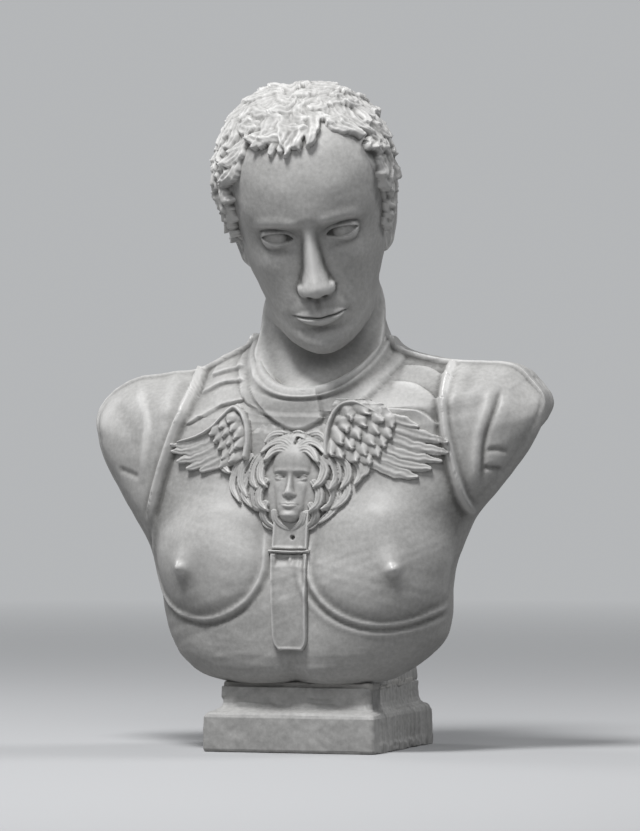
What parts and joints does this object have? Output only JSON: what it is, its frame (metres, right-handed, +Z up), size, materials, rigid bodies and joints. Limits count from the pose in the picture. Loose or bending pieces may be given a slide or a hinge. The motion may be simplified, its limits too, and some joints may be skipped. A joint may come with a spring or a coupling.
{
  "type": "bust",
  "caption": "Life-size marble portrait bust in Roman cuirass with winged mask, hollow back and prop, on a square plinth; head with tenon set into the neck opening.",
  "frame": {"origin": "middle of the plinth's underside", "axes": "+Z up, the bust looks along -Y, +X to the viewer's right as one faces it"},
  "size_m": [0.4503, 0.2325, 0.6404],
  "materials": {
    "marble": "satin",
    "mortar": "matte",
    "plaster": "matte",
    "iron": "matte",
    "lead": "matte"
  },
  "bodies": {
    "bust": {"plinth": "marble", "mortar_bed": "mortar", "base_dowel": "iron", "base_dowel_lead": "lead", "chest": "marble", "neck_plaster": "plaster", "neck_dowel": "iron", "neck_dowel_lead": "lead", "head_and_neck": "marble"}
  },
  "joints": []
}
